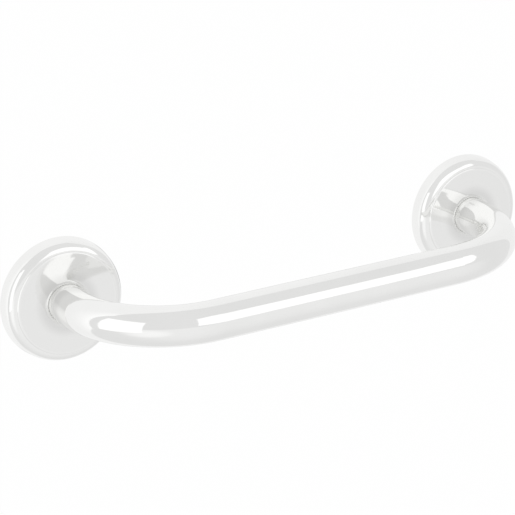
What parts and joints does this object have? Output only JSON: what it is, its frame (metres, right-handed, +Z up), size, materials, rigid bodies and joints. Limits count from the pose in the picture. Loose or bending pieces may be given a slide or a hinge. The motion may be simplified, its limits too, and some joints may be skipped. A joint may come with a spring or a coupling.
{
  "type": "grab bar",
  "caption": "Polished chrome wall grab bar: a bent round tube between stepped rosettes that hide the wall brackets.",
  "frame": {"origin": "on the wall plane, midway between the two rosettes, at the middle of the four wall screws", "axes": "+X along the bar to the right seen from the room, +Y into the wall (the bar stands out along -Y), +Z up"},
  "size_m": [0.3858, 0.1016, 0.081],
  "materials": {
    "chrome": "bright chrome plate, mirror polished",
    "bracket_steel": "zinc plated",
    "screw_steel": "stainless, plain"
  },
  "bodies": {
    "root": {"bar_tube": "chrome", "left_rosette": "chrome", "right_rosette": "chrome", "left_wall_bracket": "bracket_steel", "right_wall_bracket": "bracket_steel", "left_set_screw": "screw_steel", "right_set_screw": "screw_steel"}
  },
  "joints": []
}
